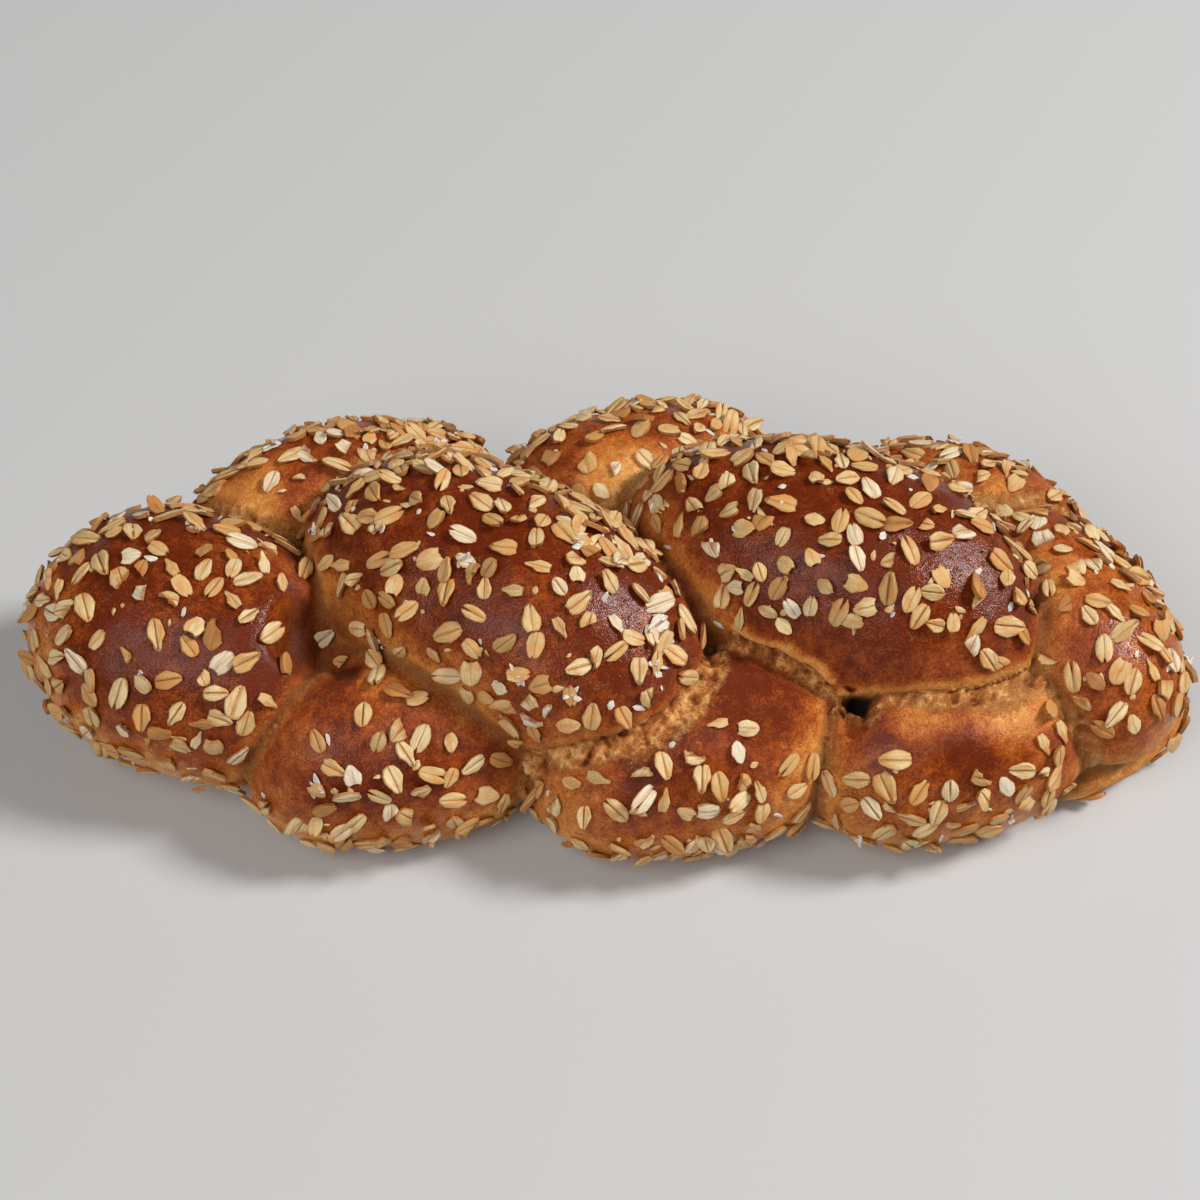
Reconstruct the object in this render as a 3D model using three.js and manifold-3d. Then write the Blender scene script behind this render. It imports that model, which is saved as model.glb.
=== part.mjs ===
// A plaited bread loaf with rolled oats baked onto its crust.
// Four fat strands of dough were plaited flat, so the loaf shows three rows of lobes: a high middle row
// that leans one way, and a lower row along each side that leans the other way. Where a strand dives
// under its neighbour the crust folds into a deep crease. The loaf is one solid with a flat base.
// Units are millimetres. X runs along the loaf, Y across it, Z up, and the loaf rests on Z = 0.
import * as THREE from "three";
import { mergeVertices } from "three/addons/utils/BufferGeometryUtils.js";
import Module from "manifold-3d";

const wasm = await Module();
wasm.setup();

// Every lobe is one visible stretch of strand: a blunt ellipsoid whose length, width and height are its
// size. It is curved sideways by `bow` degrees and arched by `droop` degrees so that both its ends dive,
// and then turned to its heading.
const LOBES = [
  { name: "left_end", at: [-121, -14, 31], size: [98, 80, 73], heading: -22, bow: 10, droop: 25 },
  { name: "middle_1", at: [-31, -11, 46], size: [136, 76, 74], heading: -33, bow: 0, droop: 55 },
  { name: "middle_2", at: [66, -2, 47], size: [130, 76, 76], heading: -25, bow: 0, droop: 55 },
  { name: "right_end", at: [131, -9, 29], size: [94, 64, 64], heading: -58, bow: 0, droop: 30 },
  { name: "front_1", at: [-57, -40, 22], size: [96, 64, 60], heading: 16, bow: 24, droop: 20 },
  { name: "front_2", at: [25, -44, 22], size: [104, 64, 60], heading: 12, bow: 24, droop: 20 },
  { name: "front_3", at: [100, -40, 22], size: [96, 62, 58], heading: 18, bow: 24, droop: 20 },
  { name: "back_1", at: [-80, 40, 26], size: [98, 60, 60], heading: 16, bow: -20, droop: 20 },
  { name: "back_2", at: [8, 44, 27], size: [96, 62, 62], heading: 18, bow: -20, droop: 20 },
  { name: "back_3", at: [106, 33, 24], size: [88, 58, 58], heading: -20, bow: -20, droop: 20 },
  { name: "right_tuck", at: [142, -31, 12], size: [64, 38, 30], heading: 32, bow: 0, droop: 0 },
  { name: "back_turn", at: [58, 37, 21], size: [86, 52, 46], heading: 8, bow: 0, droop: 20 },
  { name: "heart", at: [5, -4, 21], size: [286, 108, 62], heading: 0, bow: 0, droop: 0 },
];
const BLUNTNESS = 2.5; // 2 is a true ellipsoid, and more gives the lobes fuller ends
const LOBE_DETAIL = 4; // how finely the lobes are faceted, and the seams below
const SEAM_DETAIL = 2;

// Where the oven pulled two strands apart, a low rope of torn crumb lies along the bottom of the crease.
const TORN_SEAMS = [
  { name: "torn_1", at: [22, -42, 38], size: [74, 13, 12], heading: 33, bow: 80, droop: 20 },
  { name: "torn_2", at: [84, -42, 43], size: [116, 12, 11], heading: -8, bow: 50, droop: 10 },
];

// Rolled oats: flat chips with sloping sides, pressed into the crust.
const OAT_COUNT = 160;
const OAT_LENGTH = [7.6, 10.2]; // shortest and longest
const OAT_WIDTH_SHARE = [0.56, 0.7]; // of its length
const OAT_PROUD = 1.0; // how far the top of a flake stands out of the crust
const OAT_SUNK = 1.3; // how far its underside is pressed in
const OAT_SIDES = 6;
const OAT_TOP_SHARE = 0.84; // the top face against the underside
const OAT_TILT = 5; // degrees, either way
const OAT_SPACING = 14.5; // between the middles of two neighbours
const OAT_CREASE_GAP = 7; // bare crust beside a crease
const OAT_LOWEST = 7; // no flake sits lower than this
const TRIES = 9000; // places that are tried for a flake

const BELOW_BASE = [600, 400, 200]; // the block that cuts the underside flat
const CRUST_COLOUR = 0x8f4a20;

const UP = new THREE.Vector3(0, 0, 1);
const TINY = 1e-6;
const WELD = 1e-3; // corners closer than this are one
const radians = THREE.MathUtils.degToRad;

// A seeded random number from 0 to 1 that is the same on every machine: the fraction of a long sine.
let drawn = 0;
function random() {
  drawn += 1;
  const wave = Math.sin(drawn * 12.9898) * 43758.5453;
  return wave - Math.floor(wave);
}
const between = ([low, high]) => low + (high - low) * random();

// Curves a bar that lies along `along` towards `towards` by `angle` over its length, about its middle.
function bend(point, along, towards, angle, length) {
  if (Math.abs(angle) < TINY) return;
  const curvature = angle / length;
  const turn = point[along] * curvature;
  const side = point[towards];
  point[along] = (1 / curvature - side) * Math.sin(turn);
  point[towards] = side * Math.cos(turn) + (1 - Math.cos(turn)) / curvature;
}

// Takes a point of a bent bar back to where it was in the straight one.
function straighten(point, along, towards, angle, length) {
  if (Math.abs(angle) < TINY) return;
  const curvature = angle / length;
  const turned = Math.sign(curvature);
  const across = 1 / curvature - point[towards];
  const turn = Math.atan2(point[along] * turned, across * turned);
  point[towards] = 1 / curvature - turned * Math.hypot(point[along], across);
  point[along] = turn / curvature;
}

// The point of a lobe's surface that a point of the unit sphere goes to.
function onLobe(lobe, unit) {
  const [length, width, height] = lobe.size;
  const fuller = Math.sqrt((1 - Math.abs(unit.x) ** BLUNTNESS) / Math.max(TINY, 1 - unit.x ** 2));
  const point = new THREE.Vector3(unit.x * length, unit.y * fuller * width, unit.z * fuller * height);
  point.multiplyScalar(0.5);
  bend(point, "x", "y", radians(lobe.bow), length);
  bend(point, "x", "z", -radians(lobe.droop), length);
  return point.applyAxisAngle(UP, radians(lobe.heading)).add(new THREE.Vector3(...lobe.at));
}

// About how far a point lies outside a lobe, in millimetres, and below zero inside it.
function outside(lobe, place) {
  const [length, width, height] = lobe.size;
  const point = place.clone().sub(new THREE.Vector3(...lobe.at)).applyAxisAngle(UP, -radians(lobe.heading));
  straighten(point, "x", "z", -radians(lobe.droop), length);
  straighten(point, "x", "y", radians(lobe.bow), length);
  const x = Math.abs((2 * point.x) / length) ** (BLUNTNESS / 2);
  const y = (2 * point.y) / width;
  const z = (2 * point.z) / height;
  const reach = Math.hypot(x, y, z);
  const slope = Math.hypot((2 * x) / length, (2 * y) / width, (2 * z) / height);
  return (reach * (reach - 1)) / Math.max(slope, TINY);
}

function lobeGeometry(lobe, detail) {
  const geometry = new THREE.IcosahedronGeometry(1, detail);
  const position = geometry.getAttribute("position");
  for (let i = 0; i < position.count; i++) {
    const unit = new THREE.Vector3().fromBufferAttribute(position, i).normalize();
    position.setXYZ(i, ...onLobe(lobe, unit));
  }
  return geometry;
}

// The outward direction of a lobe's surface above a point of the unit sphere.
function normalOn(lobe, unit) {
  const step = 0.01;
  const side = Math.abs(unit.z) < 0.9 ? UP : new THREE.Vector3(1, 0, 0);
  const first = new THREE.Vector3().crossVectors(unit, side).normalize();
  const second = new THREE.Vector3().crossVectors(unit, first);
  const here = onLobe(lobe, unit);
  const along = onLobe(lobe, unit.clone().addScaledVector(first, step).normalize()).sub(here);
  const across = onLobe(lobe, unit.clone().addScaledVector(second, step).normalize()).sub(here);
  return along.cross(across).normalize();
}

// Where the flakes go: random places on the lobes, kept if they show, lie clear of the creases and of
// the base, and stand apart from every flake that is already there.
function oatPlaces() {
  const places = [];
  for (let n = 0; n < TRIES && places.length < OAT_COUNT; n++) {
    const lobe = LOBES[Math.floor(random() * LOBES.length)];
    const x = 2 * random() - 1;
    const around = 2 * Math.PI * random();
    const ring = Math.sqrt(1 - x * x);
    const unit = new THREE.Vector3(x, ring * Math.cos(around), ring * Math.sin(around));
    const at = onLobe(lobe, unit);
    const others = [...LOBES, ...TORN_SEAMS].filter((other) => other !== lobe);
    const clear = others.every((other) => outside(other, at) > OAT_CREASE_GAP);
    const apart = places.every((other) => other.at.distanceTo(at) > OAT_SPACING);
    if (clear && apart && at.z > OAT_LOWEST) places.push({ at, normal: normalOn(lobe, unit) });
  }
  return places;
}

function oatGeometry({ at, normal }) {
  const length = between(OAT_LENGTH);
  const width = length * between(OAT_WIDTH_SHARE);
  const thickness = OAT_PROUD + OAT_SUNK;
  const chip = new THREE.CylinderGeometry(OAT_TOP_SHARE, 1, thickness, OAT_SIDES, 1);
  chip.rotateX(Math.PI / 2).scale(length / 2, width / 2, 1);
  chip.translate(0, 0, (OAT_PROUD - OAT_SUNK) / 2);
  chip.rotateX(radians(between([-OAT_TILT, OAT_TILT]))).rotateZ(Math.PI * random());
  chip.applyQuaternion(new THREE.Quaternion().setFromUnitVectors(UP, normal));
  return chip.translate(...at);
}

function solidOf(geometry) {
  const bare = geometry.clone();
  bare.deleteAttribute("normal");
  bare.deleteAttribute("uv");
  const merged = mergeVertices(bare, WELD);
  return new wasm.Manifold(
    new wasm.Mesh({
      numProp: 3,
      vertProperties: merged.getAttribute("position").array,
      triVerts: new Uint32Array(merged.index.array),
    }),
  );
}

function geometryOf(solid) {
  const mesh = solid.getMesh();
  const geometry = new THREE.BufferGeometry();
  geometry.setAttribute("position", new THREE.BufferAttribute(mesh.vertProperties, 3));
  geometry.setIndex(new THREE.BufferAttribute(mesh.triVerts, 1));
  return geometry;
}

function breadSolid() {
  const lobes = LOBES.map((lobe) => solidOf(lobeGeometry(lobe, LOBE_DETAIL)));
  const seams = TORN_SEAMS.map((seam) => solidOf(lobeGeometry(seam, SEAM_DETAIL)));
  let bread = lobes[0];
  for (const piece of [...lobes.slice(1), ...seams]) bread = bread.add(piece);
  const belowBase = new THREE.BoxGeometry(...BELOW_BASE).translate(0, 0, -BELOW_BASE[2] / 2);
  return bread.subtract(solidOf(belowBase));
}

let loaf = breadSolid();
for (const place of oatPlaces()) loaf = loaf.add(solidOf(oatGeometry(place)));

const object = new THREE.Group();
const crust = new THREE.MeshStandardMaterial({ color: CRUST_COLOUR, roughness: 0.45, metalness: 0 });
const mesh = new THREE.Mesh(geometryOf(loaf), crust);
mesh.name = "braided_loaf";
object.add(mesh);

export default object;
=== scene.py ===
# %% [markdown]
# # A plaited loaf with rolled oats
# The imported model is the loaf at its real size: a closed solid with a flat base and a few oat flakes.
# Blender dresses it. The loaf is modelled again from the same strands with a finer skin, and it gets its
# torn seams, its baked crust and the full scatter of oats. The first lines load the model, which fixes
# the frame that every piece below sits in. Lengths in this script are millimetres until a mesh is made.

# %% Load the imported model
import math
from collections import Counter
import bpy
import numpy as np
from mathutils import Euler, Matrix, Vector, noise


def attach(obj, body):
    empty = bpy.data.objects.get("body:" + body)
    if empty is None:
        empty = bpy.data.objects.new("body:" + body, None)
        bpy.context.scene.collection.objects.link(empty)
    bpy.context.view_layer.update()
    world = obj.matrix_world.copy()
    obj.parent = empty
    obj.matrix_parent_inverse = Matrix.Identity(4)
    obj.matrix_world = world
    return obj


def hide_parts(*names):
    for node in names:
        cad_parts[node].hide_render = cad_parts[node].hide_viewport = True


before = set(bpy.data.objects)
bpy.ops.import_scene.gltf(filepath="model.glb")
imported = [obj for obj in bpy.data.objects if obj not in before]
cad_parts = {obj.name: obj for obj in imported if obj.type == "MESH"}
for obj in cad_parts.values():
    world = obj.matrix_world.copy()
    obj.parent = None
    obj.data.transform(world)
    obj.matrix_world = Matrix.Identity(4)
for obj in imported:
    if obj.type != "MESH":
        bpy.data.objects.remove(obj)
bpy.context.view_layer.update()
MM = 0.001
scene = bpy.context.scene

# %% [markdown]
# ## Small helpers
# Operators act on whatever is selected, so each step starts by selecting one object and nothing else.
# Inside edit mode, points are picked by a rule on their place, as a modeller would box-select them.

# %% Selecting
def only(piece):
    if bpy.context.object and bpy.context.object.mode != "OBJECT":
        bpy.ops.object.mode_set(mode="OBJECT")
    bpy.ops.object.select_all(action="DESELECT")
    piece.select_set(True)
    bpy.context.view_layer.objects.active = piece
    return piece


def points(piece):
    """Every vertex of a mesh as rows of x, y, z."""
    found = np.empty(len(piece.data.vertices) * 3)
    piece.data.vertices.foreach_get("co", found)
    return found.reshape(-1, 3)


def pick(piece, rule):
    """Selects the vertices whose place meets the rule, and leaves the piece in edit mode."""
    bpy.ops.object.mode_set(mode="EDIT")
    bpy.ops.mesh.select_mode(type="VERT")
    bpy.ops.mesh.select_all(action="DESELECT")
    bpy.ops.object.mode_set(mode="OBJECT")
    chosen = rule(points(piece))
    piece.data.vertices.foreach_set("select", np.asarray(chosen, bool))
    bpy.ops.object.mode_set(mode="EDIT")
    return int(np.sum(chosen))


def apply_modifier(piece, kind, **settings):
    only(piece)
    added = piece.modifiers.new(kind.lower(), kind)
    for key, value in settings.items():
        setattr(added, key, value)
    bpy.ops.object.modifier_apply(modifier=added.name)


def smooth_step(low, high, value):
    t = np.clip((value - low) / (high - low), 0, 1)
    return t * t * (3 - 2 * t)


# %% [markdown]
# ## The strands
# A flat plait of four strands shows three rows of lobes. Each lobe is the visible stretch of one strand:
# a fat spindle with blunt ends that is curved sideways (bow), arched so that both ends dive (droop),
# and turned to its heading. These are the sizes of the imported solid. The heart is the dough under the
# rows, and the seams are the ropes of torn crumb in two creases of the front.

# %% Sizes of the strands
LOBES = {
    "left_end": dict(at=(-121, -14, 31), size=(98, 80, 73), heading=-22, bow=10, droop=25),
    "middle_1": dict(at=(-31, -11, 46), size=(136, 76, 74), heading=-33, bow=0, droop=55),
    "middle_2": dict(at=(66, -2, 47), size=(130, 76, 76), heading=-25, bow=0, droop=55),
    "right_end": dict(at=(131, -9, 29), size=(94, 64, 64), heading=-58, bow=0, droop=30),
    "front_1": dict(at=(-57, -40, 22), size=(96, 64, 60), heading=16, bow=24, droop=20),
    "front_2": dict(at=(25, -44, 22), size=(104, 64, 60), heading=12, bow=24, droop=20),
    "front_3": dict(at=(100, -40, 22), size=(96, 62, 58), heading=18, bow=24, droop=20),
    "back_1": dict(at=(-80, 40, 26), size=(98, 60, 60), heading=16, bow=-20, droop=20),
    "back_2": dict(at=(8, 44, 27), size=(96, 62, 62), heading=18, bow=-20, droop=20),
    "back_3": dict(at=(106, 33, 24), size=(88, 58, 58), heading=-20, bow=-20, droop=20),
    "right_tuck": dict(at=(142, -31, 12), size=(64, 38, 30), heading=32, bow=0, droop=0),
    "back_turn": dict(at=(58, 37, 21), size=(86, 52, 46), heading=8, bow=0, droop=20),
    "heart": dict(at=(5, -4, 21), size=(286, 108, 62), heading=0, bow=0, droop=0),
}
SEAMS = {
    "torn_1": dict(at=(22, -42, 38), size=(74, 13, 12), heading=33, bow=80, droop=20),
    "torn_2": dict(at=(84, -42, 43), size=(116, 12, 11), heading=-8, bow=50, droop=10),
}
BLUNTNESS = 2.5  # 2 is a true ellipsoid
print(len(LOBES), "lobes and", len(SEAMS), "seams")

# %% [markdown]
# ## One spindle, copied
# The spindle could be drawn as a curve and spun, or pulled out of a ball. A ball has the right rings from
# the start, so a UV sphere is laid along X and each of its rings is widened to the blunt profile. It is
# modelled once, and every lobe is a copy with its own mesh.

# %% Model the spindle
RINGS, AROUND = 40, 56
RING_REACH = 0.2 / RINGS  # a vertex this near to a ring's place along X belongs to it
bpy.ops.object.select_all(action="DESELECT")
bpy.ops.mesh.primitive_uv_sphere_add(segments=AROUND, ring_count=RINGS, radius=1)
spindle = bpy.context.object
spindle.name = "spindle"
spindle.rotation_euler = (0, math.radians(90), 0)
bpy.ops.object.transform_apply(location=False, rotation=True, scale=False)
for ring in range(1, RINGS):
    x = math.cos(math.pi * ring / RINGS)
    pick(spindle, lambda p: np.abs(p[:, 0] - x) < RING_REACH)
    fuller = math.sqrt((1 - abs(x) ** BLUNTNESS) / (1 - x * x))
    bpy.ops.transform.resize(value=(1, fuller, fuller), center_override=(x, 0, 0))
bpy.ops.object.mode_set(mode="OBJECT")
print("spindle:", len(spindle.data.vertices), "points, widest", round(points(spindle)[:, 1].max(), 3))

# %% [markdown]
# ## Shape and place each lobe
# The bend modifier curves a bar that lies along X towards Y, so the sideways bow comes first. For the
# arch the lobe is laid on its side, bent, and stood up again. Applying each turn keeps the object itself
# unturned at the origin, with its place in its mesh.

# %% Bend, turn and place the lobes
def turned(piece, *degrees):
    only(piece)
    piece.rotation_euler = [math.radians(d) for d in degrees]
    bpy.ops.object.transform_apply(location=False, rotation=True, scale=False)


def bent(piece, degrees):
    if degrees:
        apply_modifier(piece, "SIMPLE_DEFORM", deform_method="BEND", deform_axis="Z",
                       angle=math.radians(degrees))


def lobe_mesh(name, form):
    piece = spindle.copy()
    piece.data = spindle.data.copy()
    piece.name = name
    bpy.context.collection.objects.link(piece)
    only(piece)
    piece.scale = [side * MM / 2 for side in form["size"]]
    bpy.ops.object.transform_apply(location=False, rotation=False, scale=True)
    bent(piece, form["bow"])
    turned(piece, -90, 0, 0)
    bent(piece, -form["droop"])
    turned(piece, 90, 0, 0)
    turned(piece, 0, 0, form["heading"])
    piece.location = [v * MM for v in form["at"]]
    bpy.ops.object.transform_apply(location=True, rotation=False, scale=False)
    return piece


strands = [lobe_mesh(name, form) for name, form in {**LOBES, **SEAMS}.items()]
bpy.data.objects.remove(spindle)
print("placed", len(strands), "lobes")

# %% [markdown]
# ## Bake them into one skin
# A boolean would keep every crease knife-sharp, and dough that proved in its creases has grown together.
# A voxel remesh wraps all the lobes in one even skin, and smoothing then rounds the creases.

# %% Join, remesh and smooth
VOXEL, SMOOTH_ROUNDS = 1.4, 6
only(strands[0])
for strand in strands:
    strand.select_set(True)
bpy.ops.object.join()
loaf = bpy.context.object
loaf.name = "loaf_crust"
apply_modifier(loaf, "REMESH", mode="VOXEL", voxel_size=VOXEL * MM)
apply_modifier(loaf, "SMOOTH", factor=0.5, iterations=SMOOTH_ROUNDS)
print("skin:", len(loaf.data.polygons), "faces")

# %% [markdown]
# ## Where a point is on the plait
# Colour, tears and oats all depend on how far a point lies from the next strand. The distance to a lobe
# can be worked out exactly from its named sizes: the point is carried back into the straight spindle.
# The lobe that a point lies deepest in owns it, and the gap to the next lobe grows from the crease out.

# %% Distances to the lobes
SEED_SHIFT = (17.3, 5.1, 9.7)  # each seed reads the noise in another place
TINY = 1e-6


def noise_at(spots, size, seed=0):
    """Smooth noise from -1 to 1 at each spot, with bumps of about that size."""
    shift = Vector([seed * step for step in SEED_SHIFT])
    return np.array([noise.noise(Vector(spot) / size + shift) for spot in spots])


def straightened(along, side, degrees, length):
    if not degrees:
        return along, side
    curvature = math.radians(degrees) / length
    turn = math.copysign(1, curvature)
    across = 1 / curvature - side
    angle = np.arctan2(along * turn, across * turn)
    return angle / curvature, 1 / curvature - turn * np.hypot(along, across)


def in_lobe(form, place):
    """The place in the lobe's own straight frame, in millimetres."""
    x, y, z = (place - np.array(form["at"])).T
    c, s = math.cos(math.radians(form["heading"])), math.sin(math.radians(form["heading"]))
    x, y = c * x + s * y, c * y - s * x
    x, z = straightened(x, z, -form["droop"], form["size"][0])
    x, y = straightened(x, y, form["bow"], form["size"][0])
    return x, y, z


def outside(form, place):
    """About how far each place lies outside the lobe, in millimetres, and below zero inside it."""
    halves = [side / 2 for side in form["size"]]
    x, y, z = (v / half for v, half in zip(in_lobe(form, place), halves))
    x = np.abs(x) ** (BLUNTNESS / 2)
    reach = np.sqrt(x * x + y * y + z * z)
    slope = np.sqrt((x / halves[0]) ** 2 + (y / halves[1]) ** 2 + (z / halves[2]) ** 2)
    return reach * (reach - 1) / np.maximum(slope, TINY)


names = list(LOBES)


def plait(place):
    """For each place: distances to all lobes, the numbers of its owner and of the lobe beside, the gap."""
    away = np.array([outside(form, place) for form in LOBES.values()])
    order = np.argsort(away, axis=0)
    rows = np.arange(len(place))
    return away, order[0], order[1], away[order[1], rows] - away[order[0], rows]


away, owner, beside, gap = plait(points(loaf) / MM)
print("points on each lobe:", dict(zip(names, np.bincount(owner, minlength=len(names)).tolist())))

# %% [markdown]
# ## Where the crust tore
# In the oven the loaf grows after its crust has set, so some creases pull open and show pale, fibrous
# dough with no glaze. Each tear is named by the strand above and the strand below. It runs up both of
# them by its own widths, and some tears have a lip along the upper edge.

# %% Tears between strands
TEAR_FOOT = (4, 10)  # the tears fade out between these heights over the table
WIDE_TEAR = 6  # a wider tear than this has a soft edge
FAR_OFF = 9.0  # a share of the width that lies well past any tear
TEARS = [  # strand above, strand below, torn width on the lower and the upper one, strength, lip height
    ("middle_1", "front_2", 9, 3.5, 1.0, 0),
    ("middle_2", "front_2", 2.5, 5.5, 0.95, 1.1),
    ("middle_2", "front_3", 10, 0.8, 0.85, 0.8),
    ("left_end", "front_1", 3, 0, 0.35, 0),
    ("left_end", "back_1", 6, 0, 0.5, 0),
    ("middle_1", "back_1", 4, 0, 0.4, 0),
    ("middle_2", "back_2", 6, 2.0, 0.6, 0),
    ("middle_1", "back_2", 5, 0, 0.5, 0),
    ("right_end", "back_3", 8, 0, 0.7, 0),
    ("middle_2", "back_3", 5, 0, 0.5, 0),
    ("front_3", "right_end", 4, 1.5, 0.6, 0),
    ("front_1", "front_2", 4, 1.5, 0.6, 0),
    ("front_2", "front_3", 3, 0, 0.4, 0),
]


def torn(place, away, owner, beside, gap):
    """For each place: how torn it is, the lip's height, and where it lies along and across the tear."""
    worst, lip, along, across = np.zeros((4, len(place)))
    for above, below, low_width, high_width, strength, lip_height in TEARS:
        far = away[names.index(above)]
        under = owner == names.index(below)
        edge = (owner == names.index(above)) & (beside == names.index(below))
        share = np.full(len(place), FAR_OFF)
        share[under] = far[under] / (low_width * (0.8 + 0.75 * noise_at(place[under], 13, low_width)))
        if high_width:
            height = high_width * (1 + 0.5 * noise_at(place[edge], 9, low_width))
            share[edge] = gap[edge] / height
            past = gap[edge] - height
            lip[edge] = lip_height * smooth_step(-0.6, 0.6, past) * (1 - smooth_step(1.2, 4.5, past))
        share[share < 0] = FAR_OFF
        here = strength * (1 - smooth_step(0.4 if low_width > WIDE_TEAR else 0.75, 1.0, share))
        stronger = here > worst
        worst[stronger] = here[stronger]
        along[stronger] = in_lobe(LOBES[above], place)[0][stronger]
        across[stronger] = np.where(edge, gap, far)[stronger]
    return worst * smooth_step(*TEAR_FOOT, place[:, 2]), lip, along, across


tear, lip, along, across = torn(points(loaf) / MM, away, owner, beside, gap)
print("torn points:", int((tear > 0.3).sum()), "lip points:", int((lip > 0.3).sum()))

# %% [markdown]
# ## More faces where it tore
# The torn dough and the lips over it are the finest forms of the loaf. Only their faces are divided
# again, which keeps the whole skin light enough.

# %% Divide the torn faces
DIVIDED_ABOVE = 8  # the foot of the loaf keeps its even faces
fine = (tear > 0.25) | (lip > 0.2)
pick(loaf, lambda p: fine & (p[:, 2] > DIVIDED_ABOVE * MM))
bpy.ops.mesh.subdivide(number_cuts=1)
bpy.ops.object.mode_set(mode="OBJECT")
place = points(loaf) / MM
away, owner, beside, gap = plait(place)
tear, lip, along, across = torn(place, away, owner, beside, gap)
print("skin:", len(loaf.data.polygons), "faces,", sum(len(p.vertices) - 2 for p in loaf.data.polygons),
      "triangles")

# %% [markdown]
# ## Uneven dough
# No strand is a perfect spindle. Broad soft noise swells and sinks the surface by a millimetre or two,
# finer noise wrinkles it, and the torn bands get fibres that cross the crease with craters between them.
# The strand above a tear keeps a thin lip. Where three strands part, the dough sinks in a small gap that is
# painted dark inside as shade, and beside the left end it folds in deeply. That fold and every closed
# crease are kept as a mask of painted shade.

# %% Displace the skin
SWELLS = [(1.5, 34, 1), (0.9, 14, 2), (0.2, 4.5, 3)]  # height and size of each, and its seed
CREASE_DEPTH, CREASE_REACH = 1.7, 5.5  # closed creases are drawn in
TEAR_DEPTH, TEAR_REACH = 1.8, 4.5  # torn ones at their bottom
GROUND = (0.5, 8)  # nothing moves at the table, and all moves above the second height
PIT_WARP = 2.5  # how far a pit's outline strays
# Each pit is a real dent, and its last number is how dark the painted shade inside it is.
PITS = [  # middle, radius, depth, the way in and how dark
    ((71, -47, 46), 6.0, 12.0, (0.0, 0.55, -1.0), 1.0),
    ((69, -53, 43), 4.5, 5.0, (0.0, 0.5, -1.0), 0.35),
    ((31, -28, 49), 4.5, 6.0, (-0.3, 0.4, -1.0), 0.75),
    ((121, -22, 62), 5.0, 6.0, (-0.2, 0.2, -1.0), 0.75),
    ((-83, -28, 53), 17.0, 8.0, (-0.5, 0.2, -1.0), 0.0),
    ((-74, -36, 49), 8.0, 4.0, (0.0, 0.2, -1.0), 0.4),
    ((-22, -62, 26), 5.0, 4.0, (0.0, 0.8, -1.0), 0.5),
]
# Each fold is given its middle, its radius and how dark its painted shade is.
SHADED_FOLDS = [((-82, -27, 50), 15, 0.85), ((-74, -38, 48), 8, 0.6)]  # middle, radius and how dark


def normals(piece):
    found = np.empty(len(piece.data.vertices) * 3)
    piece.data.vertices.foreach_get("normal", found)
    return found.reshape(-1, 3)


def distance(spots, middle):
    return np.linalg.norm(spots - np.array(middle), axis=1)


facing = normals(loaf)
push = sum(height * noise_at(place, size, seed) for height, size, seed in SWELLS)
push += lip - CREASE_DEPTH * (1 - smooth_step(0, CREASE_REACH, gap)) * (1 - np.clip(2 * tear, 0, 1))
in_tear = tear > 0.02
ridge = np.zeros(len(place))
fibres = np.column_stack([along, across * 0.25, place[:, 2] * 0.1])[in_tear]
ridge[in_tear] = (
    0.9 * noise_at(fibres, 1.8, 4)  # fibres
    + 0.8 * noise_at(place[in_tear], 2.8, 5)  # knots
    + 0.6 * noise_at(place[in_tear], 6.5, 7)  # lumps
    - 1.1 * smooth_step(0.15, 0.5, noise_at(place[in_tear], 2.8, 6))  # craters
)
sunk = np.where(in_tear, -TEAR_DEPTH * (1 - smooth_step(0, TEAR_REACH, across)), 0) * (lip < 0.1)
push += tear * (ridge + sunk)
ground = smooth_step(*GROUND, place[:, 2])
place += facing * (push * ground)[:, None]

# This mask gathers the painted shade inside each pit, fading out from its middle.
pit_shade = np.zeros(len(place))
for middle, radius, depth, way, shade_amount in PITS:
    far = distance(place, middle)
    close_by = far < 2 * radius
    warp = noise_at(place[close_by], max(3.5, radius / 2), 9)
    far[close_by] *= 1 + min(0.5, PIT_WARP / radius) * warp
    near = (1 - smooth_step(0.3, 1.0, far / radius)) * (1 - np.clip(lip, 0, 1))
    place += near[:, None] * depth * np.array(Vector(way).normalized())
    pit_shade = np.maximum(pit_shade, near * shade_amount)
# This mask holds painted shade: every closed crease and the listed folds are darkened where shade falls in
# them, with tears and lips left out.
painted_crease_shade = (1 - smooth_step(0.2, 4.0, gap)) * (1 - tear) * (1 - np.clip(lip, 0, 1))
for middle, radius, shade_amount in SHADED_FOLDS:
    far = distance(place, middle) * (1 + 0.3 * noise_at(place, 9, 15))
    painted_crease_shade = np.maximum(painted_crease_shade, shade_amount * (1 - smooth_step(0.35, 1.15, far / radius)))
loaf.data.vertices.foreach_set("co", (place * MM).ravel())
loaf.data.update()
print("pushed from", round(push.min(), 2), "to", round(push.max(), 2), "mm")

# %% [markdown]
# ## What the crust remembers
# The materials need to know how brown a point has baked, how torn it is, and which way a tear runs.
# These are stored on the skin as attributes, so they travel with the mesh. The loaf is darkest on its
# crowns, and it stays light in its creases and where it met the tray. The outer strands baked lighter
# than the middle ones, and the dough that slid out from under a neighbour stayed golden. The brush left
# less glaze near the creases, and none on one spot in front.

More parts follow.
